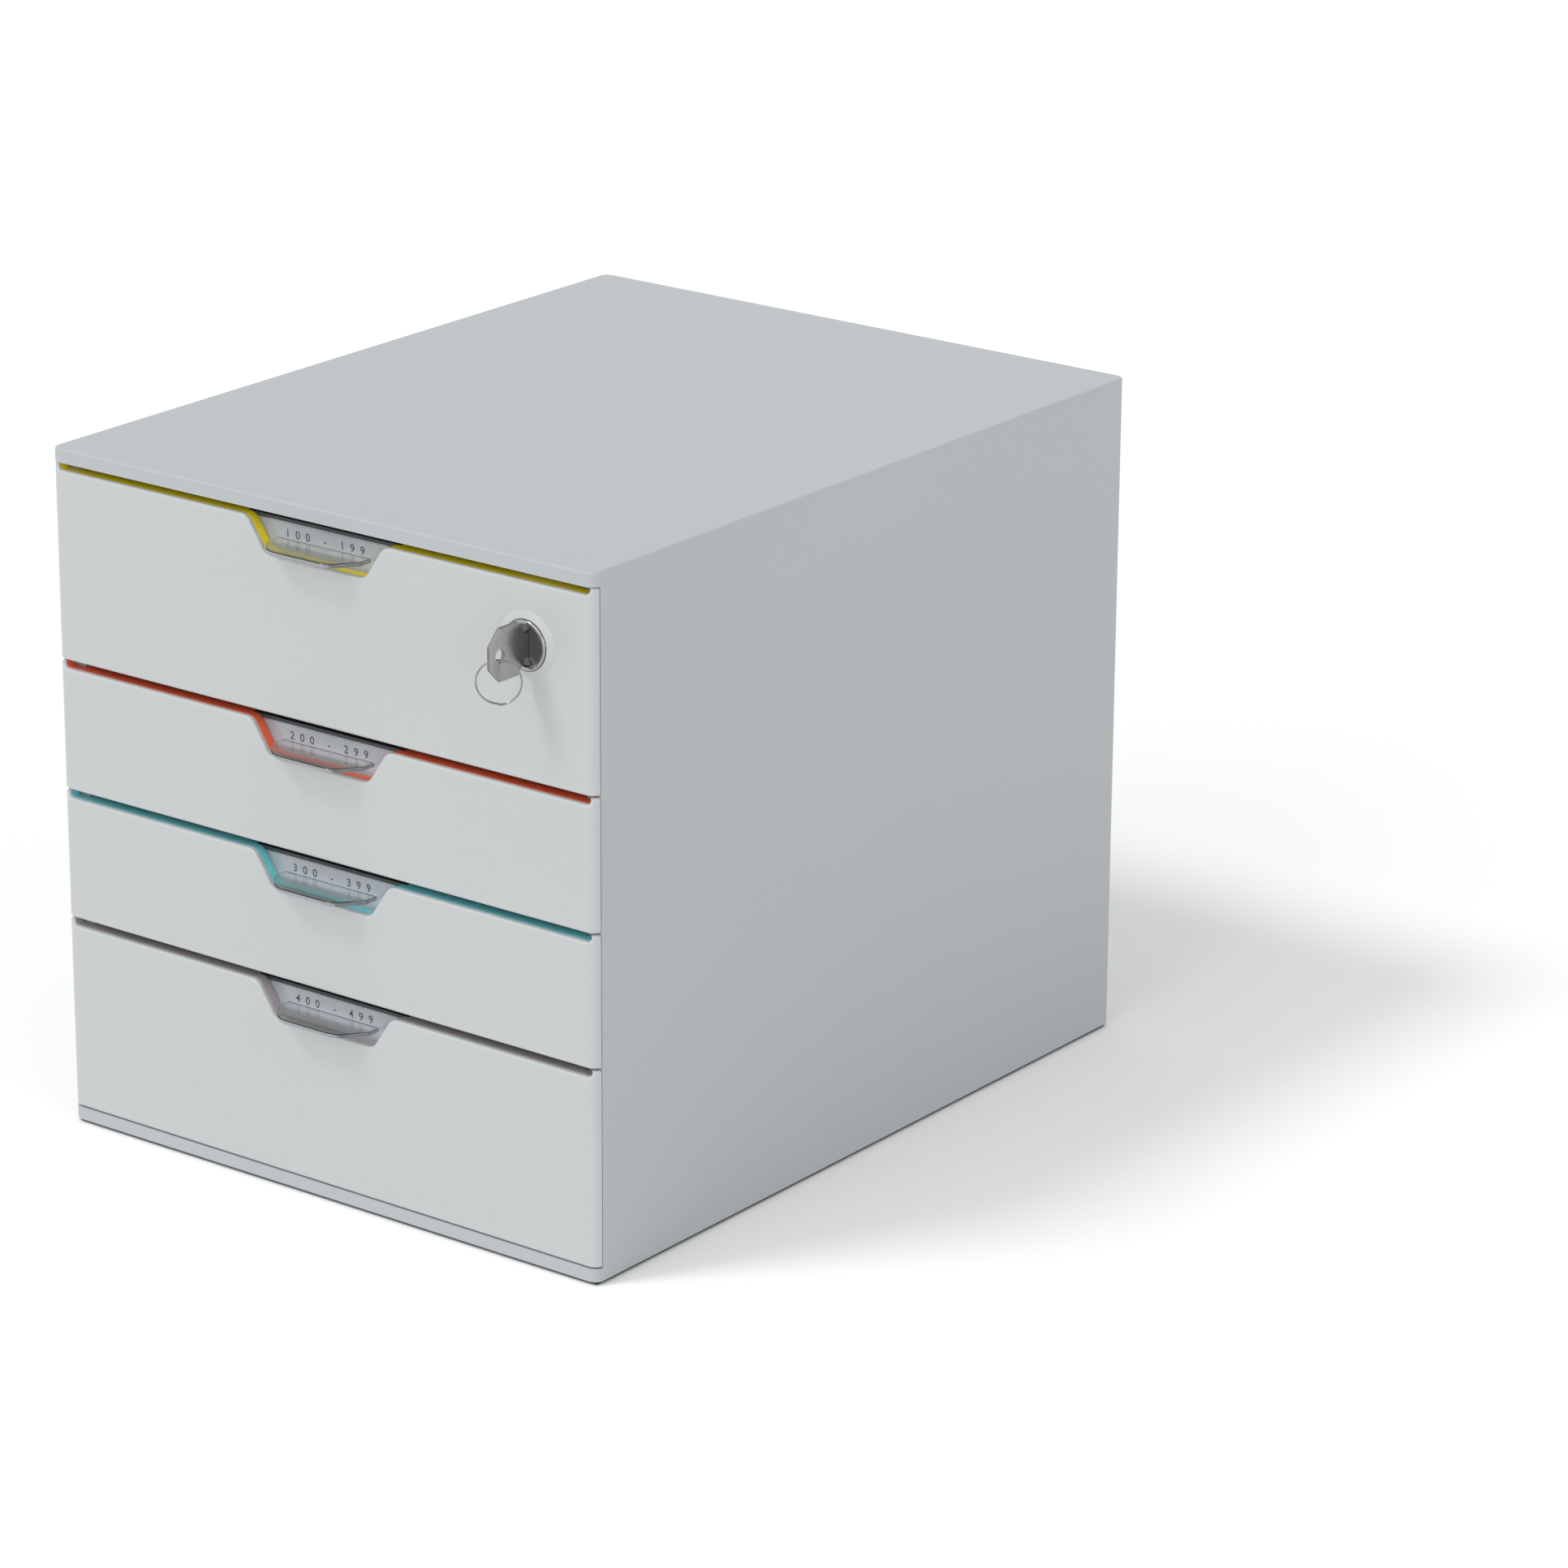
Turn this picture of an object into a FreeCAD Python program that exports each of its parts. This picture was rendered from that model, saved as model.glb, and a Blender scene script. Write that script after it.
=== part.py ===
import FreeCAD, Part
import math
import os
import re

import Sketcher
from FreeCAD import Vector

# Desktop file drawer: a sleeve housing with four drawers, the top one with a cam lock.
# X runs to the right, Y from the front to the back, Z up; the feet stand on z = 0.
# The origin lies under the middle of the whole thing, key included. Millimetres.

SIZES = {
    # housing sleeve
    "width": 280.0,
    "depth": 356.0,
    "unit_pitch": 27.9,
    "base_height": 5.8,
    "top_height": 5.9,
    "corner_radius": 4.5,
    "top_edge_radius": 1.0,
    "base_edge_radius": 0.8,
    "side_wall": 2.0,
    "top_wall": 2.5,
    "floor_wall": 2.4,
    "rear_wall": 2.4,
    "front_rim": 10.0,
    "back_margin": 14.0,
    "back_panel_wall": 2.0,
    "back_recess": 0.6,
    "back_gap": 0.3,
    "back_corner": 4.0,
    "panel_fit": 0.15,
    # ribbed underside and feet
    "under_margin_side": 42.0,
    "under_margin_end": 14.0,
    "under_rib": 2.4,
    "under_columns": 3,
    "under_rows": 4,
    "foot_height": 1.3,
    "foot_radius": 8.0,
    "foot_inset": 22.0,
    "foot_recess": 1.0,
    # runner panels on the inside of the sleeve
    "runner_width": 7.0,
    "runner_wall": 2.0,
    "runner_front": 7.0,
    "bulkhead": 2.5,
    "ledge_width": 16.0,
    "ledge_rise": 1.0,
    "ledge_drop": 1.0,
    # how many height units each drawer takes, from the top down
    "unit_count_1": 3,
    "unit_count_2": 2,
    "unit_count_3": 2,
    "unit_count_4": 3,
    # front panels
    "front_depth": 6.2,
    "front_wrap": 3.5,
    "front_gap": 0.4,
    "side_gap": 0.4,
    "edge_drop": 3.3,
    "lip_depth": 2.2,
    "front_edge_radius": 1.1,
    "front_skin": 2.6,
    "front_rib": 2.5,
    "front_cells": 5,
    "trim_wall": 0.8,
    "trim_end_radius": 1.6,
    "wing_inset": 4.0,
    "notch_depth": 14.7,
    "notch_top_half": 35.4,
    "notch_base_half": 25.6,
    "notch_top_radius": 6.0,
    "notch_base_radius": 5.0,
    # trays
    "tray_wall": 1.8,
    "tray_front": 3.0,
    "tray_floor": 1.8,
    "tray_gap": 0.5,
    "slide_gap": 0.3,
    "rim_width": 0.8,
    "rim_height": 2.5,
    "tray_corner": 5.0,
    "tray_cove": 3.0,
    "tray_back_gap": 4.0,
    "travel": 262.0,
    "stop_play": 0.5,
    "stop_length": 12.0,
    "stop_width": 4.4,
    # clear label holders with their pull lip, and the card behind
    "label_drop": 4.7,
    "label_height": 14.4,
    "label_half": 37.0,
    "holder_wall": 1.2,
    "card_thickness": 0.3,
    "label_play": 0.1,
    "label_corner": 1.0,
    "lip_drop": 11.6,
    "lip_thickness": 1.9,
    "lip_half": 24.0,
    "lip_reach": 10.8,
    "lip_front_half": 15.6,
    "lip_root_corner": 3.0,
    "lip_corner": 10.0,
    "lip_edge_radius": 0.6,
    # lock: place in the top front panel, boss, barrel and nut
    "lock_inset": 32.7,
    "lock_drop": 28.3,
    "boss_radius": 13.75,
    "boss_top_radius": 10.9,
    "boss_height": 1.2,
    "head_radius": 10.2,
    "head_height": 2.0,
    "head_seat": 1.0,
    "head_play": 0.25,
    "head_round": 0.7,
    "barrel_radius": 9.0,
    "barrel_length": 15.5,
    "barrel_play": 0.2,
    "barrel_flats": 16.4,
    "dish_radius": 8.6,
    "dish_depth": 2.9,
    "dish_round": 0.5,
    "nut_flats": 23.0,
    "nut_height": 2.6,
    "thread_play": 0.05,
    # lock: plug, wafers, cam and screw
    "plug_radius": 6.2,
    "running_play": 0.06,
    "plug_face_radius": 8.3,
    "plug_face_setback": 0.5,
    "plug_face_round": 0.3,
    "hip_depth": 1.6,
    "hip_half_width": 8.6,
    "mouth_end": 0.9,
    "keyway_web": 0.5,
    "tail_square": 7.0,
    "tail_short": 0.1,
    "wafer_count": 5,
    "wafer_first": 1.5,
    "wafer_share": 0.57,
    "wafer_half_width": 3.4,
    "wafer_half_height": 4.9,
    "wafer_play": 0.06,
    "cam_gap": 0.4,
    "cam_thickness": 2.0,
    "cam_reach": 30.0,
    "cam_width": 11.0,
    "cam_heel": 6.6,
    "cam_tip_radius": 2.0,
    "cam_heel_radius": 5.0,
    "cam_play": 0.08,
    "screw_radius": 1.9,
    "screw_length": 4.6,
    "screw_head_radius": 4.6,
    "screw_head_height": 1.8,
    "screw_head_round": 0.6,
    "screw_play": 0.08,
    "screw_end_room": 0.3,
    "screw_slot": 0.9,
    "screw_slot_depth": 0.8,
    # catch behind which the raised cam goes
    "catch_half": 14.0,
    "catch_thickness": 3.2,
    "catch_clear": 0.8,
    # key
    "bow_start": 2.4,
    "bow_length": 20.6,
    "bow_half_height": 10.7,
    "bow_inner_chamfer": 3.9,
    "bow_inner_drop": 4.4,
    "bow_outer_chamfer": 6.0,
    "bow_outer_drop": 6.2,
    "bow_thickness": 1.7,
    "bow_bevel": 0.3,
    "shoulder_half": 5.0,
    "shoulder_length": 3.0,
    "blade_thickness": 1.6,
    "blade_half": 3.5,
    "blade_end_room": 0.3,
    "blade_point": 1.1,
    "blade_tip_half": 1.8,
    "blade_play": 0.08,
    "bite_depth": 1.1,
    "bite_mouth_share": 0.46,
    "bite_floor_share": 0.16,
    "ring_hole_radius": 2.8,
    "ring_hole_along": 14.6,
    "ring_hole_drop": 0.3,
    "ring_sit": 1.7,
    # split ring
    "ring_radius": 8.75,
    "ring_wire": 0.55,
    "ring_pitch": 1.1,
    "ring_turn_degrees": 38.0,
    # one overrun for every cut that goes past a face
    "overrun": 5.0,
}

DRAWERS = ("1", "2", "3", "4")
LOCKED_DRAWER = DRAWERS[0]

doc = FreeCAD.newDocument("desktop_file_drawer")
sheet = doc.addObject("Spreadsheet::Sheet", "Sizes")
for row, (alias, size) in enumerate(SIZES.items(), start=1):
    sheet.set(f"A{row}", alias)
    sheet.set(f"B{row}", str(size))
    sheet.setAlias(f"B{row}", alias)
doc.recompute()


def formula(text):
    """The same sum with the name of each size pointed at its cell."""
    return re.sub(r"[a-z][a-z_0-9]*", lambda m: "Sizes." + m[0] if m[0] in SIZES else m[0], text)


def value(text):
    """What a sum of sizes comes to."""
    return float(sheet.evalExpression(formula(text)))


# Sums used by several pieces
total_units = "(unit_count_1 + unit_count_2 + unit_count_3 + unit_count_4)"
front_line = "(bow_start + bow_length - depth) / 2"
opening_base = "(foot_height + base_height)"
opening_top = f"({opening_base} + {total_units} * unit_pitch)"
housing_top = f"({opening_top} + top_height)"
inner_half = "(width / 2 - side_wall)"
inner_top = f"({housing_top} - top_wall)"
inner_back = "(depth - rear_wall)"
runner_end = f"({inner_back} - back_panel_wall - panel_fit)"
runner_inside = f"({inner_half} - runner_width)"
bulkhead_back = "(runner_front + bulkhead)"
front_half = f"({inner_half} - side_gap)"
trim_half = f"({front_half} - trim_wall)"
tray_half = f"({runner_inside} - tray_gap)"
tray_body_half = f"({tray_half} - rim_width)"
tray_base = "(ledge_rise + slide_gap)"
tray_end = f"({runner_end} - tray_back_gap)"
notch_slope = "((notch_top_half - notch_base_half) / notch_depth)"
trim_spread = f"(trim_wall * (sqrt(1 + {notch_slope} ^ 2) - {notch_slope}))"
wing_start = "(notch_top_half + wing_inset)"
lock_across = "(width / 2 - lock_inset)"
plug_back = "(barrel_length + cam_gap)"
cam_back = f"({plug_back} + cam_thickness)"
dish_floor = "(dish_depth - head_height)"
keyway_end = f"({cam_back} - screw_length - screw_end_room - keyway_web)"
blade_end = f"({keyway_end} - blade_end_room)"
wafer_pitch = f"(({blade_end} - blade_point - wafer_first) / wafer_count)"
wafer_thickness = f"({wafer_pitch} * wafer_share)"


def cell_height(number):
    """Height of a drawer's place in the housing."""
    return f"(unit_count_{number} * unit_pitch)"


def cell_base(number):
    """Level of the bottom of a drawer's place."""
    lower = DRAWERS[DRAWERS.index(number) + 1:]
    below = " + ".join(["0"] + [f"unit_count_{n}" for n in lower])
    return f"({opening_base} + ({below}) * unit_pitch)"


lock_level = f"({cell_base(LOCKED_DRAWER)} + {cell_height(LOCKED_DRAWER)} - lock_drop)"
lock_up = f"({cell_height(LOCKED_DRAWER)} - lock_drop)"

finished = []


def new_body(label, lift="0", across="0"):
    """A sub-part whose own origin is on the line of the front, at the given level and place."""
    body = doc.addObject("PartDesign::Body", label)
    body.Label = label
    body.setExpression("Placement.Base.x", formula(across))
    body.setExpression("Placement.Base.y", formula(front_line))
    body.setExpression("Placement.Base.z", formula(lift))
    finished.append(body)
    return body


PLANES = {"plan": "XY_Plane", "front": "XZ_Plane", "side": "YZ_Plane"}


def new_sketch(body, view, level="0"):
    """Sketch in plan, from the front or from the side, at a level above, behind or right of zero."""
    sketch = body.newObject("Sketcher::SketchObject", f"{body.Name}_{view}")
    plane = next(f for f in body.Origin.OriginFeatures if f.Role == PLANES[view])
    sketch.AttachmentSupport = (plane, [""])
    sketch.MapMode = "FlatFace"
    sign = "-" if view == "front" else ""
    sketch.setExpression("AttachmentOffset.Base.z", formula(f"{sign}({level})"))
    return sketch


def place_point(sketch, geometry, end, across, up, constraints, bindings):
    """Tie a point's two distances from the sketch's origin to their sums."""
    for kind, text in (("DistanceX", across), ("DistanceY", up)):
        bindings[sketch.ConstraintCount + len(constraints)] = text
        constraints.append(Sketcher.Constraint(kind, -1, 1, geometry, end, value(text)))


def bind_all(sketch, constraints, bindings):
    """Add the constraints in one go and tie the sizes among them to the sheet."""
    sketch.addConstraint(constraints)
    for index, text in bindings.items():
        sketch.setExpression(f"Constraints[{index}]", formula(text))


def outline(sketch, corners):
    """Closed outline of straight sides; a corner is (across, up) or (across, up, radius)."""
    count = len(corners)
    spots = [Vector(value(c[0]), value(c[1]), 0) for c in corners]
    radii = [value(c[2]) if len(c) == 3 else 0 for c in corners]
    arrive, leave, arcs = [], [], []
    for i, (spot, radius) in enumerate(zip(spots, radii)):
        back = (spots[i - 1] - spot).normalize()
        onward = (spots[(i + 1) % count] - spot).normalize()
        half = back.getAngle(onward) / 2
        setback = radius / math.tan(half) if radius else 0
        arrive.append(spot + back * setback)
        leave.append(spot + onward * setback)
        if radius:
            centre = spot + (back + onward).normalize() * (radius / math.sin(half))
            turns_left = back.cross(onward).z < 0
            first, last = (arrive[i], leave[i]) if turns_left else (leave[i], arrive[i])
            angles = [math.atan2(p.y - centre.y, p.x - centre.x) for p in (first, last)]
            if angles[1] < angles[0]:
                angles[1] += 2 * math.pi
            circle = Part.Circle(centre, Vector(0, 0, 1), radius)
            arcs.append((i, Part.ArcOfCircle(circle, *angles), turns_left))
    base = sketch.GeometryCount
    sides = [Part.LineSegment(leave[i], arrive[(i + 1) % count]) for i in range(count)]
    sketch.addGeometry(sides + [arc for _, arc, _ in arcs])
    sketch.addGeometry([Part.Point(spots[i]) for i, _, _ in arcs], True)
    constraints, bindings = [], {}
    for order, (i, _, turns_left) in enumerate(arcs):
        arc = base + count + order
        mark = base + count + len(arcs) + order
        before, after = base + (i - 1) % count, base + i
        start, end = (1, 2) if turns_left else (2, 1)
        place_point(sketch, mark, 1, corners[i][0], corners[i][1], constraints, bindings)
        constraints.append(Sketcher.Constraint("PointOnObject", mark, 1, before))
        constraints.append(Sketcher.Constraint("PointOnObject", mark, 1, after))
        constraints.append(Sketcher.Constraint("Tangent", before, 2, arc, start))
        constraints.append(Sketcher.Constraint("Tangent", after, 1, arc, end))
        bindings[sketch.ConstraintCount + len(constraints)] = corners[i][2]
        constraints.append(Sketcher.Constraint("Radius", arc, radii[i]))
    for i in range(count):
        if not radii[i]:
            before, after = base + (i - 1) % count, base + i
            constraints.append(Sketcher.Constraint("Coincident", before, 2, after, 1))
            place_point(sketch, after, 1, corners[i][0], corners[i][1], constraints, bindings)
    bind_all(sketch, constraints, bindings)
    return sketch


def rectangle(sketch, left, right, low, high, radius=None):
    """Upright rectangle, with one radius at all its corners where that is given."""
    corners = [(left, low), (right, low), (right, high), (left, high)]
    return outline(sketch, [c + (radius,) if radius else c for c in corners])


def circle(sketch, across, up, radius):
    """One full circle."""
    spot = Vector(value(across), value(up), 0)
    geometry = sketch.addGeometry(Part.Circle(spot, Vector(0, 0, 1), value(radius)))
    constraints, bindings = [], {}
    place_point(sketch, geometry, 3, across, up, constraints, bindings)
    bindings[sketch.ConstraintCount + len(constraints)] = radius
    constraints.append(Sketcher.Constraint("Radius", geometry, value(radius)))
    bind_all(sketch, constraints, bindings)
    return sketch


def mirrored(half):
    """An outline's right half, given from the middle outwards, with its left half added."""
    left = [(f"-({c[0]})",) + tuple(c[1:]) for c in reversed(half)]
    return list(half) + left


def mirror(body, feature):
    """The same feature again on the other side of the middle plane."""
    twin = add_feature(body, "Mirrored", "mirrored")
    twin.Originals = [feature]
    twin.MirrorPlane = (next(f for f in body.Origin.OriginFeatures if f.Role == PLANES["side"]), [""])
    body.Tip = twin
    doc.recompute()
    return twin


def add_feature(body, kind, name):
    """A new feature of a body, under the body's own name."""
    return body.newObject(f"PartDesign::{kind}", f"{body.Name}_{name}")


def thicken(body, sketch, length, name="pad"):
    """Solid from a sketch, upwards, backwards or to the right of it."""
    pad = add_feature(body, "Pad", name)
    pad.Profile = sketch
    pad.setExpression("Length", formula(length))
    pad.Reversed = sketch.AttachmentSupport[0][0].Role == PLANES["front"]
    sketch.Visibility = False
    doc.recompute()
    return pad


def cut(body, sketch, length, name="pocket"):
    """Material taken away upwards, backwards or to the right of a sketch."""
    before = body.Tip.Shape.Volume
    pocket = add_feature(body, "Pocket", name)
    pocket.Profile = sketch
    pocket.setExpression("Length", formula(length))
    pocket.Reversed = sketch.AttachmentSupport[0][0].Role != PLANES["front"]
    doc.recompute()
    if pocket.Shape.Volume >= before:
        raise RuntimeError(f"{pocket.Name} takes nothing away")
    return pocket


def turn(body, profile):
    """Solid of revolution about the body's own Y axis, from a side sketch."""
    revolution = add_feature(body, "Revolution", "turned")
    revolution.Profile = profile
    revolution.ReferenceAxis = (profile, ["H_Axis"])
    revolution.Angle = 360
    doc.recompute()
    return revolution


def repeat(body, feature, direction, spacing, count, backwards=False):
    """A row of copies of a feature along an axis of its sketch, or against it."""
    pattern = add_feature(body, "LinearPattern", "row")
    pattern.Originals = [feature]
    pattern.Direction = (feature.Profile[0], [direction])
    pattern.Reversed = backwards
    pattern.setExpression("Length", formula(f"({spacing}) * ({count} - 1)"))
    pattern.setExpression("Occurrences", formula(count))
    body.Tip = pattern
    doc.recompute()
    return pattern


def dress(body, kind, wanted, size):
    """Fillet or Chamfer on the edges that the test picks."""
    base = body.Tip
    names = [f"Edge{i}" for i, edge in enumerate(base.Shape.Edges, start=1) if wanted(edge)]
    if not names:
        raise RuntimeError(f"{body.Name} has no edge to dress")
    feature = add_feature(body, kind, kind.lower())
    feature.Base = (base, names)
    feature.setExpression({"Fillet": "Radius", "Chamfer": "Size"}[kind], formula(size))
    doc.recompute()
    if feature.Shape.isNull() or not feature.Shape.isValid():
        raise RuntimeError(f"{feature.Name} can't be made")
    return feature


def close(a, b):
    """Whether two lengths agree."""
    return abs(a - b) < 1e-4


def spans(edge, axis):
    """Lowest and highest coordinate of an edge along x, y or z, in the body's own frame."""
    box = edge.BoundBox
    return {"x": (box.XMin, box.XMax), "y": (box.YMin, box.YMax), "z": (box.ZMin, box.ZMax)}[axis]


def lies_at(edge, axis, place):
    """Whether an edge stays at one coordinate."""
    low, high = spans(edge, axis)
    return close(low, place) and close(high, place)


def test_at(axis, place):
    """Edge test: stays at the coordinate that a sum of sizes comes to."""
    spot = value(place)
    return lambda edge: lies_at(edge, axis, spot)


# Housing sleeve: closed at the back but for a window, ribbed underneath
def make_housing_shell():
    body = new_body("housing_shell")
    half = "width / 2"
    plan = new_sketch(body, "plan", "foot_height")
    rectangle(plan, f"-{half}", half, "0", "depth", "corner_radius")
    thicken(body, plan, f"{housing_top} - foot_height", "block")
    dress(body, "Fillet", test_at("z", housing_top), "top_edge_radius")
    dress(body, "Fillet", test_at("z", "foot_height"), "base_edge_radius")

    inside = new_sketch(body, "front", "front_rim")
    rectangle(inside, f"-{inner_half}", inner_half, opening_base, inner_top)
    cut(body, inside, f"{inner_back} - front_rim", "inside")
    mouth = new_sketch(body, "front", "front_wrap")
    rectangle(mouth, f"-{inner_half}", inner_half, opening_base, opening_top)
    cut(body, mouth, "front_rim", "mouth")
    # the front panels wrap round the upright corners, so the sides start behind them
    wrap = new_sketch(body, "front", "-overrun")
    rectangle(wrap, f"-({half} + overrun)", f"{half} + overrun", opening_base, opening_top)
    cut(body, wrap, "overrun + front_wrap + front_gap", "wrap")

    window = new_sketch(body, "front", inner_back)
    low, high = f"{opening_base} + back_margin", f"{inner_top} - back_margin"
    side = f"{inner_half} - back_margin"
    rectangle(window, f"-({side})", side, low, high, "back_corner")
    cut(body, window, "rear_wall + overrun", "window")

    make_catch(body)
    make_underside(body)
    return body


def make_catch(body):
    """Rib under the top, in front of the raised cam and above the tray's rim."""
    front = f"{plug_back} - cam_gap - catch_thickness"
    rib = new_sketch(body, "front", front)
    left, right = f"{lock_across} - catch_half", f"{lock_across} + catch_half"
    rectangle(rib, left, right, f"{opening_top} - edge_drop + catch_clear", f"{inner_top} + top_wall / 2")
    thicken(body, rib, "catch_thickness", "catch")


def make_underside(body):
    """Rows of pockets between ribs, and a shallow round seat for each foot."""
    columns, rows = SIZES["under_columns"], "under_rows"
    across = "(width - 2 * under_margin_side + under_rib) / under_columns"
    along = "(depth - 2 * under_margin_end + under_rib) / under_rows"
    pockets = new_sketch(body, "plan", "foot_height - overrun")
    for column in range(columns):
        left = f"under_margin_side - width / 2 + {column} * {across}"
        front = "under_margin_end"
        rectangle(pockets, left, f"{left} + {across} - under_rib", front, f"{front} + {along} - under_rib")
    pocket = cut(body, pockets, "overrun + base_height - floor_wall", "under")
    repeat(body, pocket, "V_Axis", along, rows)
    seats = new_sketch(body, "plan", "foot_height - overrun")
    for x, y in FOOT_PLACES.values():
        circle(seats, x, y, "foot_radius + panel_fit")
    cut(body, seats, "overrun + foot_recess", "seats")


FOOT_PLACES = {
    "foot_front_left": ("foot_inset - width / 2", "foot_inset"),
    "foot_front_right": ("width / 2 - foot_inset", "foot_inset"),
    "foot_rear_left": ("foot_inset - width / 2", "depth - foot_inset"),
    "foot_rear_right": ("width / 2 - foot_inset", "depth - foot_inset"),
}


def make_foot(label, x, y):
    foot = doc.addObject("Part::Cylinder", label)
    foot.Label = label
    foot.setExpression("Radius", formula("foot_radius"))
    foot.setExpression("Height", formula("foot_height + foot_recess"))
    foot.setExpression("Placement.Base.x", formula(x))
    foot.setExpression("Placement.Base.y", formula(f"{front_line} + {y}"))
    finished.append(foot)
    return foot


# Back panel: a plate inside the rear wall whose raised field fills the window
def make_back_panel():
    body = new_body("back_panel")
    plate = new_sketch(body, "front", f"{inner_back} - back_panel_wall")
    side = f"({inner_half} - panel_fit)"
    rectangle(plate, f"-{side}", side, f"{opening_base} + panel_fit", f"{inner_top} - panel_fit")
    thicken(body, plate, "back_panel_wall", "plate")
    field = new_sketch(body, "front", inner_back)
    low = f"{opening_base} + back_margin + back_gap"
    high = f"{inner_top} - back_margin - back_gap"
    side = f"({inner_half} - back_margin - back_gap)"
    rectangle(field, f"-{side}", side, low, high, "back_corner - back_gap")
    thicken(body, field, "rear_wall - back_recess", "field")
    return body


# Runner panel: a plate with a bulkhead at the front and a ledge under each tray
def make_runner_panel():
    body = new_body("runner_panel_left")
    outer, inner = f"(panel_fit - {inner_half})", f"(panel_fit + runner_wall - {inner_half})"
    plan = new_sketch(body, "plan", f"{opening_base} + panel_fit")
    outline(plan, [
        (outer, "runner_front"),
        (f"-{runner_inside}", "runner_front"),
        (f"-{runner_inside}", bulkhead_back),
        (inner, bulkhead_back),
        (inner, runner_end),
        (outer, runner_end),
    ])
    thicken(body, plan, f"{opening_top} - {opening_base} - 2 * panel_fit", "plate")
    for number in DRAWERS:
        low = f"{cell_base(number)} - ledge_drop"
        if number == DRAWERS[-1]:
            low = f"{opening_base} + panel_fit"
        ledge = new_sketch(body, "front", "runner_front")
        edge = f"ledge_width - {inner_half}"
        rectangle(ledge, f"{inner} - runner_wall / 2", edge, low, f"{cell_base(number)} + ledge_rise")
        thicken(body, ledge, f"{runner_end} - runner_front", f"ledge_{number}")
    twin = doc.addObject("Part::Mirroring", "runner_panel_right")
    twin.Label = "runner_panel_right"
    twin.Source = body
    twin.Normal = Vector(1, 0, 0)
    finished.append(twin)
    return body


def edge_levels(number):
    """Levels of a front panel's ends, lowered edge and notch floor, in its own frame."""
    low = f"({cell_height(number)} - edge_drop)"
    return f"({cell_height(number)} - front_gap)", low, f"({low} - notch_depth)"


def lowered_edge(number):
    """Right half of the edge that shows, from the notch floor out to the end."""
    high, low, floor = edge_levels(number)
    return [
        ("notch_base_half", floor, "notch_base_radius"),
        ("notch_top_half", low, "notch_top_radius"),
        (trim_half, low, "trim_end_radius"),
        (trim_half, high),
    ]


def seat_edge(number):
    """The same edge one trim thickness deeper, on which the coloured trim lies."""
    high, low, floor = edge_levels(number)
    return [
        (f"notch_base_half + {trim_spread}", f"{floor} - trim_wall", "notch_base_radius + trim_wall"),
        (f"notch_top_half + {trim_spread}", f"{low} - trim_wall", "notch_top_radius - trim_wall"),
        (front_half, f"{low} - trim_wall", "trim_end_radius + trim_wall"),
        (front_half, high),
    ]


# Front panel: wraps round the housing's upright corners, with a lowered top edge and a notch
def make_front(number):
    body = new_body(f"drawer_{number}_front", cell_base(number))
    high, low, floor = edge_levels(number)
    half = "width / 2"
    far = "corner_radius + overrun"
    plan = new_sketch(body, "plan", "front_gap")
    outline(plan, mirrored([(half, "0", "corner_radius"), (half, far)]))
    thicken(body, plan, f"{high} - front_gap", "block")
    behind = new_sketch(body, "plan", "0")
    outline(behind, mirrored([
        (front_half, "front_depth"),
        (front_half, "front_wrap"),
        (f"{half} + overrun", "front_wrap"),
        (f"{half} + overrun", f"{far} + overrun"),
    ]))
    cut(body, behind, f"{cell_height(number)}", "behind")

    shown = new_sketch(body, "front", "-overrun")
    raised = f"{high} + overrun"
    outline(shown, mirrored(lowered_edge(number)[:-1] + [(trim_half, raised)]))
    cut(body, shown, "front_depth + 2 * overrun", "edge")
    seat = new_sketch(body, "front", "lip_depth")
    outline(seat, mirrored(seat_edge(number)[:-1] + [(front_half, raised)]))
    cut(body, seat, "front_depth + overrun", "seat")
    dress(body, "Fillet", front_rim_test(body), "front_edge_radius")

    right = front_half
    if number == LOCKED_DRAWER:
        right = f"({lock_across} - boss_radius)"
    span = f"({right} - front_rib + {front_half} - front_rib)"
    pitch = f"(({span} + front_rib) / front_cells)"
    left = f"front_rib - {front_half}"
    cells = new_sketch(body, "front", "front_skin")
    base, top = "front_gap + front_rib", f"{floor} - trim_wall - front_rib"
    rectangle(cells, left, f"{left} + {pitch} - front_rib", base, top)
    hollow = cut(body, cells, "front_depth - front_skin + overrun", "cell")
    repeat(body, hollow, "H_Axis", pitch, "front_cells")
    if number == LOCKED_DRAWER:
        make_lock_boss(body)
    return body


def front_rim_test(body):
    """Edge test: the outer rim of the face seen from the front and of its rounded ends."""
    shape = body.Tip.Shape
    wrap, bend = value("front_wrap"), value("corner_radius")

    def faces_front(face):
        surface = face.Surface
        if isinstance(surface, Part.Cylinder):
            return abs(surface.Axis.z) > 0.5 and close(surface.Radius, bend)
        return close(face.BoundBox.YMin, 0) and close(face.BoundBox.YMax, 0)

    def on_rim(edge):
        sides = [faces_front(face) for face in shape.ancestorsOfType(edge, Part.Face)]
        return sides.count(True) == 1 and not lies_at(edge, "y", wrap)

    return on_rim


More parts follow.
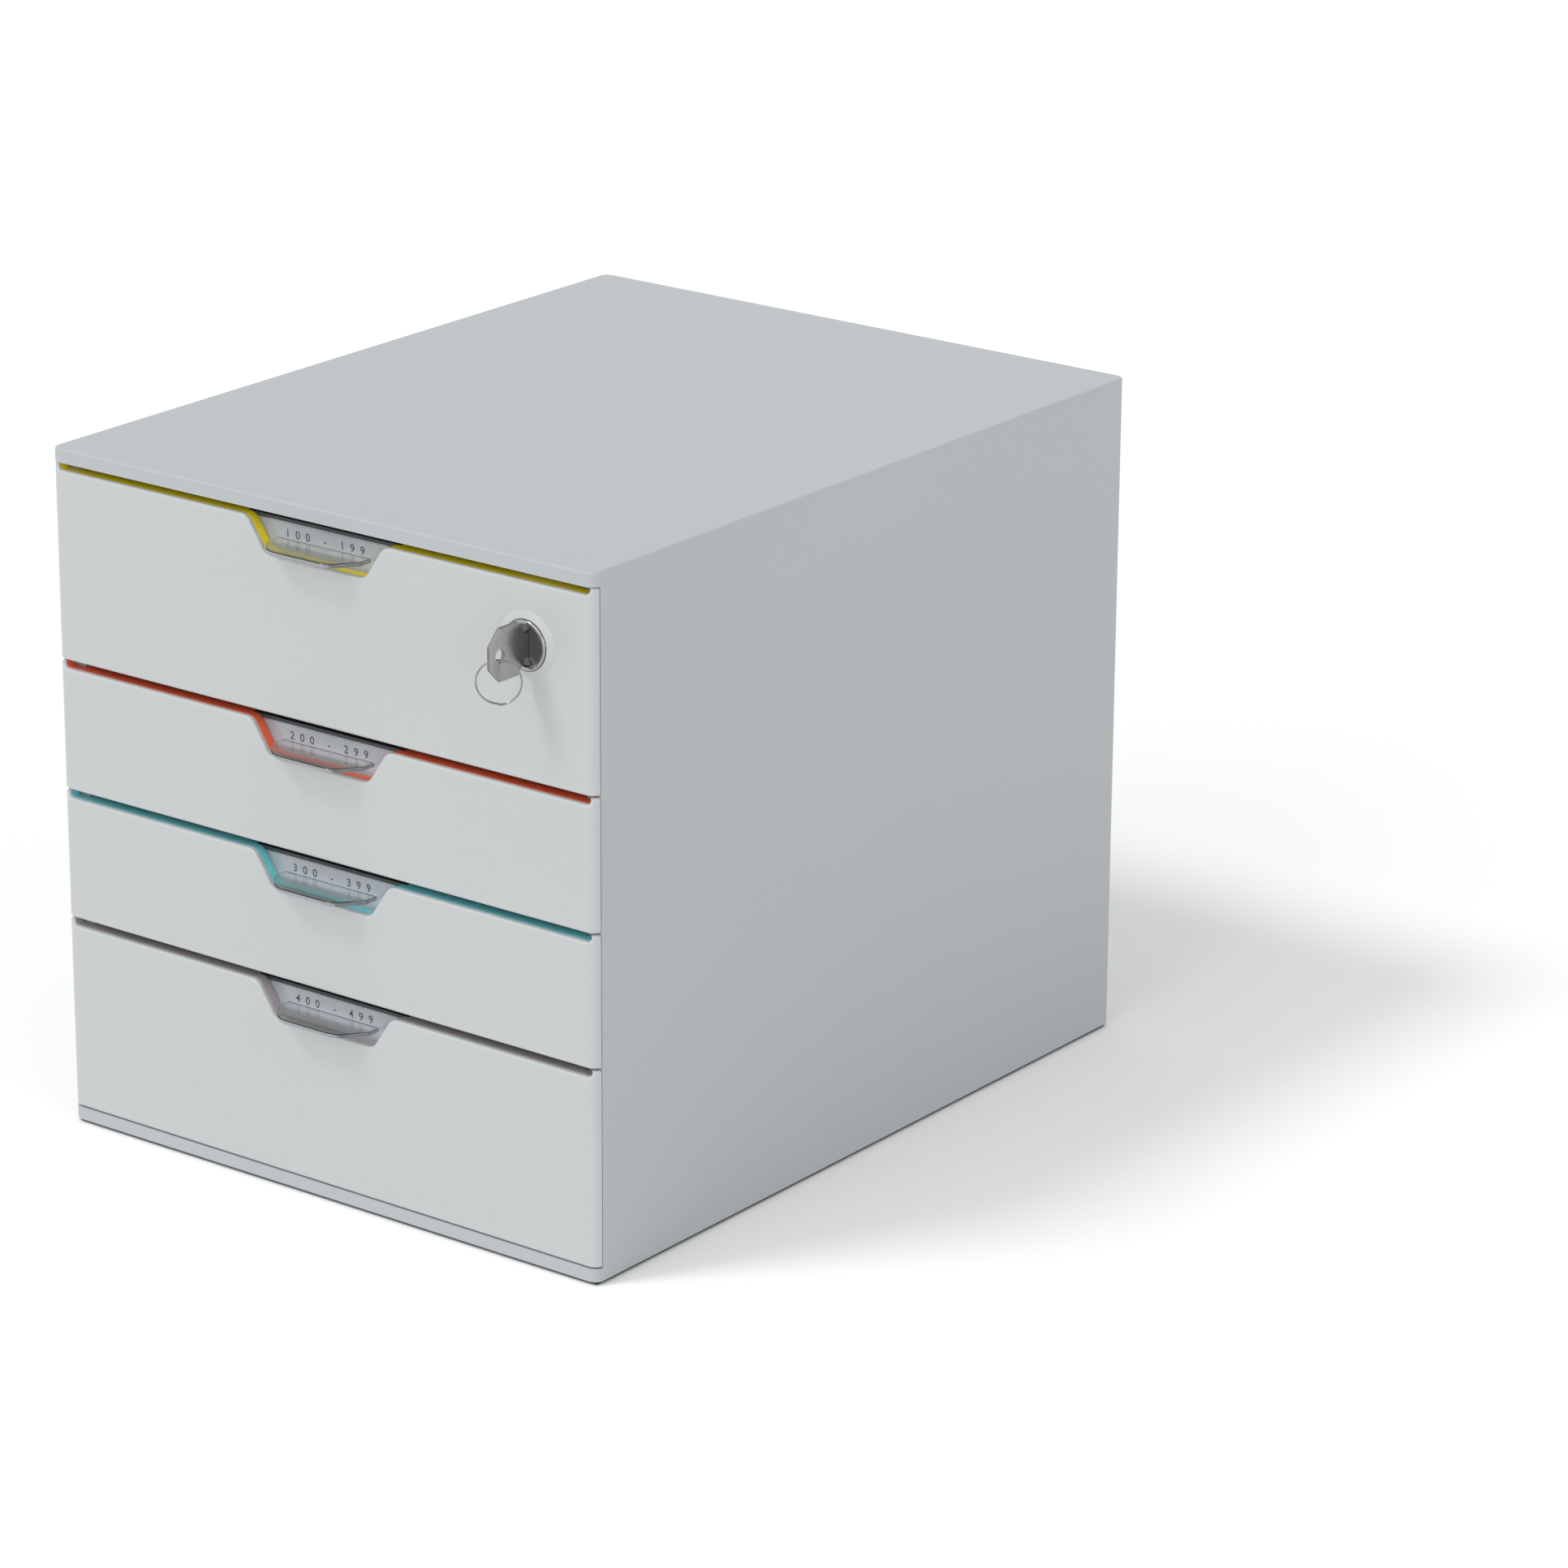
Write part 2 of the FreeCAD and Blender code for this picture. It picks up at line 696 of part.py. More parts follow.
def make_lock_boss(body):
    """Low cone round the lock, a seat for the lock's head and the bore for its barrel."""
    foot = circle(new_sketch(body, "front", "0"), lock_across, lock_up, "boss_radius")
    crown = circle(new_sketch(body, "front", "-boss_height"), lock_across, lock_up, "boss_top_radius")
    cone = add_feature(body, "AdditiveLoft", "boss")
    cone.Profile = foot
    cone.Sections = [crown]
    doc.recompute()
    seat = circle(new_sketch(body, "front", "-(boss_height + overrun)"), lock_across, lock_up,
                  "head_radius + head_play")
    cut(body, seat, "overrun + head_seat", "head_seat")
    bore = circle(new_sketch(body, "front", "-overrun"), lock_across, lock_up,
                  "barrel_radius + barrel_play")
    cut(body, bore, "front_depth + 2 * overrun", "bore")


# Coloured trim: a thin ribbon flush with the lowered edge, down round the notch and up the ends,
# whose level parts run on behind the front panel as wings over the tray's front wall
def make_trim(number):
    body = new_body(f"drawer_{number}_trim", cell_base(number))
    ribbon = new_sketch(body, "front", "lip_depth")
    outline(ribbon, mirrored(lowered_edge(number) + list(reversed(seat_edge(number)))))
    thicken(body, ribbon, "front_depth - lip_depth", "ribbon")
    wings = new_sketch(body, "plan", f"{edge_levels(number)[1]} - trim_wall")
    near, far = "front_depth - trim_wall", "front_depth + tray_front"
    rectangle(wings, f"{wing_start} + panel_fit", tray_half, near, far)
    rectangle(wings, f"-{tray_half}", f"-({wing_start} + panel_fit)", near, far)
    thicken(body, wings, "trim_wall", "wings")
    return body


# Clear label holder: a plate behind the notch with the lip that the fingers pull
def make_label_holder(number):
    body = new_body(f"drawer_{number}_label_holder", cell_base(number))
    top = f"{cell_height(number)} - label_drop"
    plate = new_sketch(body, "front", "front_depth")
    rectangle(plate, "-label_half", "label_half", f"{top} - label_height", top, "label_corner")
    thicken(body, plate, "holder_wall", "plate")
    lip_top = f"({cell_height(number)} - lip_drop)"
    lip = new_sketch(body, "plan", f"{lip_top} - lip_thickness")
    outline(lip, mirrored([
        ("lip_front_half", "-lip_reach", "lip_corner"),
        ("lip_half", "0", "lip_root_corner"),
        ("lip_half", "front_depth + holder_wall / 2"),
    ]))
    thicken(body, lip, "lip_thickness", "lip")
    levels = (value(lip_top), value(f"{lip_top} - lip_thickness"))
    root = value("front_depth")

    def on_lip(edge):
        flat = any(lies_at(edge, "z", level) for level in levels)
        front = spans(edge, "y")[0]
        return flat and front < root and not close(front, root)

    dress(body, "Fillet", on_lip, "lip_edge_radius")
    return body


def make_label_card(number):
    card = doc.addObject("Part::Box", f"drawer_{number}_label_card")
    card.Label = card.Name
    card.setExpression("Length", formula("2 * (label_half - label_play)"))
    card.setExpression("Width", formula("card_thickness"))
    card.setExpression("Height", formula("label_height - 2 * label_play"))
    base = f"{cell_base(number)} + {cell_height(number)} - label_drop - label_height + label_play"
    card.setExpression("Placement.Base.x", formula("label_play - label_half"))
    card.setExpression("Placement.Base.y", formula(f"{front_line} + front_depth + holder_wall"))
    card.setExpression("Placement.Base.z", formula(base))
    finished.append(card)
    return card


# Tray: thin walls with a rim, a thicker front with the label's recess, and stops at the sides
def make_tray(number):
    body = new_body(f"drawer_{number}_tray", cell_base(number))
    top = f"({cell_height(number)} - edge_drop)"
    walls = new_sketch(body, "plan", tray_base)
    outline(walls, mirrored([(tray_body_half, "front_depth"), (tray_body_half, tray_end, "tray_corner")]))
    thicken(body, walls, f"{top} - {tray_base}", "walls")
    rim = new_sketch(body, "plan", f"{top} - rim_height")
    rim_end = f"{tray_end} + rim_width"
    outline(rim, mirrored([(tray_half, "front_depth"), (tray_half, rim_end, "tray_corner + rim_width")]))
    thicken(body, rim, "rim_height", "rim")
    floor = f"{tray_base} + tray_floor"
    inside = new_sketch(body, "plan", floor)
    side, radius = f"({tray_body_half} - tray_wall)", "tray_corner - tray_wall"
    rectangle(inside, f"-{side}", side, "front_depth + tray_front", f"{tray_end} - tray_wall", radius)
    cut(body, inside, f"{top} - ({floor}) + overrun", "inside")
    dress(body, "Fillet", test_at("z", floor), "tray_cove")

    step = new_sketch(body, "front", "front_depth - overrun")
    for left, right in ((wing_start, f"{tray_half} + overrun"), (f"-({tray_half} + overrun)", f"-{wing_start}")):
        rectangle(step, left, right, f"{top} - trim_wall", f"{top} + overrun")
    cut(body, step, "overrun + tray_front", "wing_step")
    recess = new_sketch(body, "front", "front_depth")
    label_top = f"{cell_height(number)} - label_drop"
    label_side = "label_half + label_play"
    rectangle(recess, f"-({label_side})", label_side, f"{label_top} - label_height - label_play", label_top)
    cut(body, recess, "holder_wall + card_thickness + label_play", "label_recess")
    if number == LOCKED_DRAWER:
        bore = new_sketch(body, "front", "0")
        circle(bore, lock_across, lock_up, "barrel_radius + barrel_play")
        cut(body, bore, "front_depth + tray_front + overrun", "lock_bore")

    stop = new_sketch(body, "side", f"{tray_body_half} - tray_wall / 2")
    front = f"{bulkhead_back} + travel + stop_play"
    rectangle(stop, front, f"{front} + stop_length", tray_base, top)
    lug = thicken(body, stop, "tray_wall / 2 + stop_width", "stop")
    mirror(body, lug)
    return body


# Lock barrel: chromed head with a dish, a round bore, and two flats along the body
def make_lock_barrel():
    body = new_body("lock_barrel", lock_level, lock_across)
    seat = "head_seat - boss_height"
    bore = "plug_radius + running_play"
    side = new_sketch(body, "side")
    outline(side, [
        ("-head_height", "dish_radius", "dish_round"),
        ("-head_height", "head_radius", "head_round"),
        (seat, "head_radius"),
        (seat, "barrel_radius"),
        ("barrel_length", "barrel_radius"),
        ("barrel_length", bore),
        (dish_floor, bore),
        (dish_floor, "dish_radius"),
    ])
    turn(body, side)
    flats = new_sketch(body, "front", seat)
    inner, outer = "barrel_flats / 2", "barrel_radius + overrun"
    rectangle(flats, inner, outer, f"-({outer})", outer)
    rectangle(flats, f"-({outer})", f"-{inner}", f"-({outer})", outer)
    cut(body, flats, "barrel_length + overrun", "flats")
    return body


# Lock nut: a hexagon that draws the barrel's head against the front panel
def make_lock_nut():
    body = new_body("lock_nut", lock_level, lock_across)
    face = new_sketch(body, "front", "front_depth + tray_front")
    point, side = "nut_flats / sqrt(3)", "nut_flats / 2"
    outline(face, [
        (point, "0"), (f"{point} / 2", side), (f"-{point} / 2", side),
        (f"-{point}", "0"), (f"-{point} / 2", f"-{side}"), (f"{point} / 2", f"-{side}"),
    ])
    circle(face, "0", "0", "barrel_radius + thread_play")
    thicken(body, face, "nut_height", "hexagon")
    return body


# Lock plug: hip-shaped recess down to the keyway, wafer slots, and a square tail for the cam
def make_lock_plug():
    body = new_body("lock_plug", lock_level, lock_across)
    face = "(plug_face_setback - head_height)"
    side = new_sketch(body, "side")
    outline(side, [
        (face, "0"),
        (face, "plug_face_radius", "plug_face_round"),
        (f"{dish_floor} - running_play", "plug_face_radius"),
        (f"{dish_floor} - running_play", "plug_radius"),
        (plug_back, "plug_radius"),
        (plug_back, "0"),
    ])
    turn(body, side)
    tail = new_sketch(body, "front", plug_back)
    half = "tail_square / 2"
    rectangle(tail, f"-{half}", half, f"-{half}", half)
    thicken(body, tail, "cam_thickness - tail_short", "tail")

    slot = new_sketch(body, "front", "wafer_first - wafer_play")
    across, up = "(wafer_half_width + wafer_play)", "(plug_radius + overrun)"
    rectangle(slot, f"-{across}", across, f"-{up}", up)
    first = cut(body, slot, f"{wafer_thickness} + 2 * wafer_play", "wafer_slot")
    repeat(body, first, "N_Axis", wafer_pitch, "wafer_count", backwards=True)
    thread = new_sketch(body, "front", f"{cam_back} - screw_length - screw_end_room")
    circle(thread, "0", "0", "screw_radius + screw_play")
    cut(body, thread, "screw_length + overrun", "screw_hole")

    wide = "(blade_thickness / 2 + blade_play)"
    tall = "(shoulder_half + blade_play)"
    brim_tall = f"({tall} + hip_half_width - {wide})"
    brim = new_sketch(body, "front", face)
    rectangle(brim, "-hip_half_width", "hip_half_width", f"-{brim_tall}", brim_tall)
    mouth = new_sketch(body, "front", f"{face} + hip_depth")
    rectangle(mouth, f"-{wide}", wide, f"-{tall}", tall)
    hip = add_feature(body, "SubtractiveLoft", "hip")
    hip.Profile = brim
    hip.Sections = [mouth]
    doc.recompute()
    shallow = new_sketch(body, "front", face)
    rectangle(shallow, f"-{wide}", wide, f"-{tall}", tall)
    cut(body, shallow, f"mouth_end - {face}", "mouth")
    keyway = new_sketch(body, "front", face)
    blade = "(blade_half + blade_play)"
    rectangle(keyway, f"-{wide}", wide, f"-{blade}", blade)
    cut(body, keyway, f"{keyway_end} - {face}", "keyway")
    return body


# Lock wafers: a row of plates whose windows let the key's blade through
def make_lock_wafers():
    frames = []
    for order in range(SIZES["wafer_count"]):
        plate = doc.addObject("Part::Box", f"wafer_{order + 1}")
        window = doc.addObject("Part::Box", f"wafer_{order + 1}_window")
        front = f"{front_line} + wafer_first + {order} * {wafer_pitch}"
        size_box(plate, "wafer_half_width", "wafer_half_height", front, wafer_thickness)
        wide, tall = "(blade_thickness / 2 + blade_play)", "(blade_half + blade_play)"
        size_box(window, wide, tall, f"{front} - overrun", f"{wafer_thickness} + 2 * overrun")
        frame = doc.addObject("Part::Cut", f"wafer_{order + 1}_frame")
        frame.Base = plate
        frame.Tool = window
        frames.append(frame)
    group = doc.addObject("Part::Compound", "lock_wafers")
    group.Label = "lock_wafers"
    group.Links = frames
    doc.recompute()
    finished.append(group)
    return group


def size_box(box, half_width, half_height, front, length):
    """A box round the lock's axis, from one place along it."""
    box.setExpression("Length", formula(f"2 * {half_width}"))
    box.setExpression("Width", formula(length))
    box.setExpression("Height", formula(f"2 * {half_height}"))
    box.setExpression("Placement.Base.x", formula(f"{lock_across} - {half_width}"))
    box.setExpression("Placement.Base.y", formula(front))
    box.setExpression("Placement.Base.z", formula(f"{lock_level} - {half_height}"))


# Cam: a flat bar on the plug's tail, level while the drawer is free
def make_lock_cam():
    body = new_body("lock_cam", lock_level, lock_across)
    bar = new_sketch(body, "front", plug_back)
    half = "cam_width / 2"
    outline(bar, [
        ("-cam_reach", f"-{half}", "cam_tip_radius"),
        ("cam_heel", f"-{half}", "cam_heel_radius"),
        ("cam_heel", half, "cam_heel_radius"),
        ("-cam_reach", half, "cam_tip_radius"),
    ])
    hole = "(tail_square / 2 + cam_play)"
    rectangle(bar, f"-{hole}", hole, f"-{hole}", hole)
    thicken(body, bar, "cam_thickness", "bar")
    return body


# Cam screw: slotted head that holds the cam on the tail
def make_cam_screw():
    body = new_body("cam_screw", lock_level, lock_across)
    head_end = f"({cam_back} + screw_head_height)"
    side = new_sketch(body, "side")
    outline(side, [
        (f"{cam_back} - screw_length", "0"),
        (f"{cam_back} - screw_length", "screw_radius"),
        (cam_back, "screw_radius"),
        (cam_back, "screw_head_radius"),
        (head_end, "screw_head_radius", "screw_head_round"),
        (head_end, "0"),
    ])
    turn(body, side)
    slot = new_sketch(body, "front", f"{head_end} - screw_slot_depth")
    reach, half = "(screw_head_radius + overrun)", "screw_slot / 2"
    rectangle(slot, f"-{reach}", reach, f"-{half}", half)
    cut(body, slot, "screw_slot_depth + overrun", "slot")
    return body


# How deep each bite of the key is, as shares of the deepest
BITE_SHARES = (0.55, 1.0, 0.4, 0.8, 0.65)


# Key: octagonal bow with bevelled faces, a shoulder, and a bitten blade in the keyway
def make_lock_key():
    body = new_body("lock_key", lock_level, lock_across)
    near, far = "-bow_start", "-(bow_start + bow_length)"
    inner, outer = "(bow_half_height - bow_inner_drop)", "(bow_half_height - bow_outer_drop)"
    bow = new_sketch(body, "side", "-bow_thickness / 2")
    outline(bow, [
        (near, f"-{inner}"),
        (near, inner),
        (f"{near} - bow_inner_chamfer", "bow_half_height"),
        (f"{far} + bow_outer_chamfer", "bow_half_height"),
        (far, outer),
        (far, f"-{outer}"),
        (f"{far} + bow_outer_chamfer", "-bow_half_height"),
        (f"{near} - bow_inner_chamfer", "-bow_half_height"),
    ])
    thicken(body, bow, "bow_thickness", "bow")
    sides = (value("bow_thickness / 2"), -value("bow_thickness / 2"))
    dress(body, "Chamfer", lambda e: any(lies_at(e, "x", side) for side in sides), "bow_bevel")

    shank = new_sketch(body, "side", "-blade_thickness / 2")
    shoulder = f"({near} + shoulder_length)"
    edge = [
        (f"{near} - bow_inner_chamfer", "shoulder_half"),
        (f"{near} - bow_inner_chamfer", "-shoulder_half"),
        (shoulder, "-shoulder_half"),
        (shoulder, "-blade_half"),
        (f"{blade_end} - blade_point", "-blade_half"),
        (blade_end, "-blade_tip_half"),
        (blade_end, "blade_tip_half"),
        (f"{blade_end} - blade_point", "blade_half"),
    ]
    mouth_half = f"({wafer_pitch} * bite_mouth_share)"
    floor_half = f"({wafer_pitch} * bite_floor_share)"
    for order, share in reversed(list(enumerate(BITE_SHARES[:SIZES["wafer_count"]]))):
        middle = f"(wafer_first + {order} * {wafer_pitch} + {wafer_thickness} / 2)"
        floor = f"blade_half - bite_depth * {share}"
        edge += [
            (f"{middle} + {mouth_half}", "blade_half"),
            (f"{middle} + {floor_half}", floor),
            (f"{middle} - {floor_half}", floor),
            (f"{middle} - {mouth_half}", "blade_half"),
        ]
    edge += [(shoulder, "blade_half"), (shoulder, "shoulder_half")]
    outline(shank, edge)
    thicken(body, shank, "blade_thickness", "shank")
    hole = new_sketch(body, "side", "-(bow_thickness / 2 + overrun)")
    circle(hole, f"{near} - ring_hole_along", "-ring_hole_drop", "ring_hole_radius")
    cut(body, hole, "bow_thickness + 2 * overrun", "ring_hole")
    return body


def biarc(start, start_way, end, end_way):
    """Two arcs that leave one point and reach another along the given directions."""
    chord = end - start
    ways = chord.dot(start_way + end_way)
    spread = 2 * (1 - start_way.dot(end_way))
    reach = (math.sqrt(ways ** 2 + spread * chord.dot(chord)) - ways) / spread
    corners = (start + start_way * reach, end - end_way * reach)
    joint = (corners[0] + corners[1]) / 2
    arcs = []
    for first, corner, last in ((start, corners[0], joint), (joint, corners[1], end)):
        middle = (first + last) / 2
        half = (last - first).Length / 2
        rise = (corner - middle).Length
        sagitta = half * math.tan(math.atan2(rise, half) / 2)
        arcs.append(Part.Arc(first, middle + (corner - middle) * (sagitta / rise), last).toShape())
    return arcs


RING_TURNS = 2
STEPS_PER_TURN = 4
POINTS_PER_TURN = 180


# Split ring: one unbroken wire wound twice, hanging in the key's hole with its ends at the bottom
def make_key_ring():
    radius, rise = value("ring_radius"), value("ring_pitch")
    wire = value("ring_wire")

    def spot(turns):
        angle = 2 * math.pi * turns
        along = (turns - RING_TURNS / 2) * rise
        return Vector(radius * math.sin(angle), along, -radius * math.cos(angle))

    def way(turns):
        angle = 2 * math.pi * turns
        slope = rise / (2 * math.pi)
        return Vector(radius * math.cos(angle), slope, radius * math.sin(angle)).normalize()

    marks = [step / STEPS_PER_TURN for step in range(RING_TURNS * STEPS_PER_TURN + 1)]
    arcs = []
    for start, end in zip(marks, marks[1:]):
        arcs += biarc(spot(start), way(start), spot(end), way(end))
    path = Part.Wire(arcs)
    section = Part.Wire(Part.Circle(spot(0), way(0), wire / 2).toShape())
    ring = doc.addObject("Part::Feature", "key_ring")
    ring.Label = "key_ring"
    ring.Shape = path.makePipeShell([section], True, False)
    place = Vector(
        value(lock_across),
        value(f"{front_line} - bow_start - ring_hole_along"),
        value(f"{lock_level} - ring_hole_drop - ring_sit - ring_radius"),
    )
    turned = FreeCAD.Rotation(Vector(0, 0, 1), value("ring_turn_degrees"))
    ring.Placement = FreeCAD.Placement(place, turned)
    finished.append(ring)

    points = path.discretize(RING_TURNS * POINTS_PER_TURN + 1)
    apart = POINTS_PER_TURN // 2
    gap = min(a.distanceToPoint(b) for i, a in enumerate(points) for b in points[i + apart:]) - wire
    print(f"key ring: least gap to itself {gap:.2f} mm, volume {ring.Shape.Volume:.2f} mm3, "
          f"section times length {math.pi * wire ** 2 / 4 * path.Length:.2f} mm3")
    return ring


make_housing_shell()
make_back_panel()
make_runner_panel()
for foot_label, (foot_x, foot_y) in FOOT_PLACES.items():
    make_foot(foot_label, foot_x, foot_y)
for drawer in DRAWERS:
    make_front(drawer)
    make_trim(drawer)
    make_label_holder(drawer)
    make_label_card(drawer)
    make_tray(drawer)
make_lock_barrel()
make_lock_nut()
make_lock_plug()
make_lock_wafers()
make_lock_cam()
make_cam_screw()
make_lock_key()
make_key_ring()
doc.recompute()

faults = [f"{item.Label} is {item.State}" for item in doc.Objects if {"Invalid", "Error"} & set(item.State)]
for piece in finished:
    if piece.Shape.isNull() or not piece.Shape.isValid():
        faults.append(f"{piece.Label} has no valid shape")
if faults:
    raise RuntimeError("; ".join(faults))

os.makedirs("parts", exist_ok=True)
for piece in finished:
    piece.Shape.exportStep(f"parts/{piece.Label}.step")
    print(f"{piece.Label}: {len(piece.Shape.Solids)} solid, {piece.Shape.Volume:.0f} mm3")
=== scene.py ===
import math

import bpy
import numpy as np
from mathutils import Matrix, Vector


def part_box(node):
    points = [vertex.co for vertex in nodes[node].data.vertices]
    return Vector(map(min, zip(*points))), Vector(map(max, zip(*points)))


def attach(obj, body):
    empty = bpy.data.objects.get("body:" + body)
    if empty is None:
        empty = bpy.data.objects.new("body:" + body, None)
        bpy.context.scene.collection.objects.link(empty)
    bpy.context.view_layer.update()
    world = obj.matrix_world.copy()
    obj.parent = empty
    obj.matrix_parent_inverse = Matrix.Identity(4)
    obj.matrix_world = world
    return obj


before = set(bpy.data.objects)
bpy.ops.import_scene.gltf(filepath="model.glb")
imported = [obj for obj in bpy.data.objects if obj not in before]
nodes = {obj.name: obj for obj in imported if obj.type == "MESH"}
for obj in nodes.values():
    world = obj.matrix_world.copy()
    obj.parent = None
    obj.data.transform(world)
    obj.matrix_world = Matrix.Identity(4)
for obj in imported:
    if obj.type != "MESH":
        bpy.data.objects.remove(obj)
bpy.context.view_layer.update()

# Looks of a desktop file drawer: moulded light-grey housing, paler fronts with
# coloured trims, clear label lips, a chromed cam lock with its key and split ring.
# Metres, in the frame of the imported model: X right, Y from front to back, Z up.

drawers = (1, 2, 3, 4)
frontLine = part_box("drawer_2_front")[0].y   # the plane of the drawer fronts
print("frame loaded:", len(nodes), "nodes")


# sRGB hex to linear: divided by 12.92 below the knee, a power of 2.4 above it
def toLinear(hexColour):
    channels = [int(hexColour[i:i + 2], 16) / 255 for i in (1, 3, 5)]
    linear = [c / 12.92 if c <= 0.04045 else ((c + 0.055) / 1.055) ** 2.4 for c in channels]
    return (*linear, 1.0)


# Adds one shader node, sets its properties and input values, and links its inputs
def addNode(tree, kind, settings=None, links=None):
    node = tree.nodes.new(kind)
    for name, setting in (settings or {}).items():
        if isinstance(name, str) and hasattr(node, name):
            setattr(node, name, setting)
        else:
            node.inputs[name].default_value = setting
    for name, output in (links or {}).items():
        tree.links.new(output, node.inputs[name])
    return node


def newMaterial(name):
    material = bpy.data.materials.new(name)
    material.use_nodes = True
    tree = material.node_tree
    tree.nodes.clear()
    return material, tree


# Moulded plastics. ABS and polystyrene have an IOR near 1.53; the spark-eroded tool
# leaves a satin skin, which gives a broad soft highlight and an even colour.
# grainMm: pitch of the tool's texture, coarser than the real 0.1 mm so that it shows
plastics = {
    "housingPlastic": {"colour": "#B9BEC1", "roughness": 0.46, "grainMm": 0.5, "bump": 0.05},
    "innerPlastic": {"colour": "#B2B7BA", "roughness": 0.50, "grainMm": 0.6, "bump": 0.04},
    "frontPlastic": {"colour": "#C6C9CA", "roughness": 0.34, "grainMm": 0.45, "bump": 0.04},
    "trayPlastic": {"colour": "#34383B", "roughness": 0.48, "grainMm": 0.6, "bump": 0.05},
    "trimYellow": {"colour": "#FFE826", "roughness": 0.36, "grainMm": 0.5, "bump": 0.02},
    "trimRedOrange": {"colour": "#FF704C", "roughness": 0.36, "grainMm": 0.5, "bump": 0.02},
    "trimTeal": {"colour": "#7FDCE4", "roughness": 0.36, "grainMm": 0.5, "bump": 0.02},
    "trimMauveGrey": {"colour": "#B7AFB3", "roughness": 0.36, "grainMm": 0.5, "bump": 0.02},
    "footRubber": {"colour": "#35373A", "roughness": 0.75, "grainMm": 0.8, "bump": 0.12},
    "labelCard": {"colour": "#C6CBD3", "roughness": 0.85, "grainMm": 0.35, "bump": 0.08},
}
plasticSkin = {
    "ior": 1.53,
    "cloudMm": 111.0,    # size of the faint clouds in the colour
    "cloudTint": 0.015,  # how far they make it lighter or darker
    "roughSwing": 0.04,
    "grainDepth": 0.2,   # share of the grain's pitch
}


# Even colour with a slight cloud, and the tool's grain in roughness and bump
def makePlastic(name, look, skin):
    material, tree = newMaterial(name)
    place = addNode(tree, "ShaderNodeTexCoord").outputs["Object"]
    grain = addNode(tree, "ShaderNodeTexNoise", {"Scale": 1000 / look["grainMm"], "Detail": 2.0},
                    {"Vector": place})
    cloud = addNode(tree, "ShaderNodeTexNoise", {"Scale": 1000 / skin["cloudMm"], "Detail": 3.0},
                    {"Vector": place})
    tint = addNode(tree, "ShaderNodeMapRange",
                   {"To Min": 1 - skin["cloudTint"], "To Max": 1 + skin["cloudTint"]},
                   {"Value": cloud.outputs["Fac"]})
    colour = addNode(tree, "ShaderNodeVectorMath",
                     {"operation": "SCALE", 0: toLinear(look["colour"])[:3]},
                     {"Scale": tint.outputs["Result"]})
    rough = addNode(tree, "ShaderNodeMapRange",
                    {"To Min": look["roughness"] - skin["roughSwing"],
                     "To Max": look["roughness"] + skin["roughSwing"]},
                    {"Value": grain.outputs["Fac"]})
    grainDepth = look["grainMm"] / 1000 * skin["grainDepth"]
    bump = addNode(tree, "ShaderNodeBump", {"Strength": look["bump"], "Distance": grainDepth},
                   {"Height": grain.outputs["Fac"]})
    shader = addNode(tree, "ShaderNodeBsdfPrincipled", {"IOR": skin["ior"]},
                     {"Base Color": colour.outputs["Vector"], "Roughness": rough.outputs["Result"],
                      "Normal": bump.outputs["Normal"]})
    addNode(tree, "ShaderNodeOutputMaterial", None, {"Surface": shader.outputs["BSDF"]})
    return material


# Metals keep the default IOR. Chrome plate is a mirror over polished brass; nickel on a
# stamped key shows fine lines from the strip; zinc is a dull blue grey; wafers are
# punched brass strip.
# spread: how far the roughness swings, and the strength of the bump
# linesMm: pitch across the brushing, wider than the real 0.05 mm so that it shows
# painted shade on edge faces: how much colour is left on faces that don't look along the strip's
# thickness (X), darker to stand in for dark reflections
metals = {
    "chromePlate": {"colour": "#A2A4A6", "roughness": 0.06, "spread": 0.005,
                    "linesMm": (0.9, 0.9, 0.9)},
    "plugNickel": {"colour": "#5E6062", "roughness": 0.30, "spread": 0.02,
                   "linesMm": (0.9, 0.9, 0.9)},
    "keyNickel": {"colour": "#C2C0BD", "roughness": 0.26, "spread": 0.04,
                  "linesMm": (0.25, 5.0, 0.25), "edge": 0.4},
    "ringSteel": {"colour": "#8C8E8F", "roughness": 0.18, "spread": 0.02,
                  "linesMm": (0.5, 0.5, 0.5)},
    "zincPlate": {"colour": "#A9AEB2", "roughness": 0.34, "spread": 0.08,
                  "linesMm": (0.8, 0.8, 0.8)},
    "waferBrass": {"colour": "#C9A35A", "roughness": 0.30, "spread": 0.06,
                   "linesMm": (0.4, 0.4, 1.6)},
}
metalSkin = {
    "lineDepth": 0.00002,
    "edgeUpTo": 0.6,   # X of the normal up to which a face is a cut edge
    "flatFrom": 0.9,   # X of the normal from which it is the flat of the strip
}
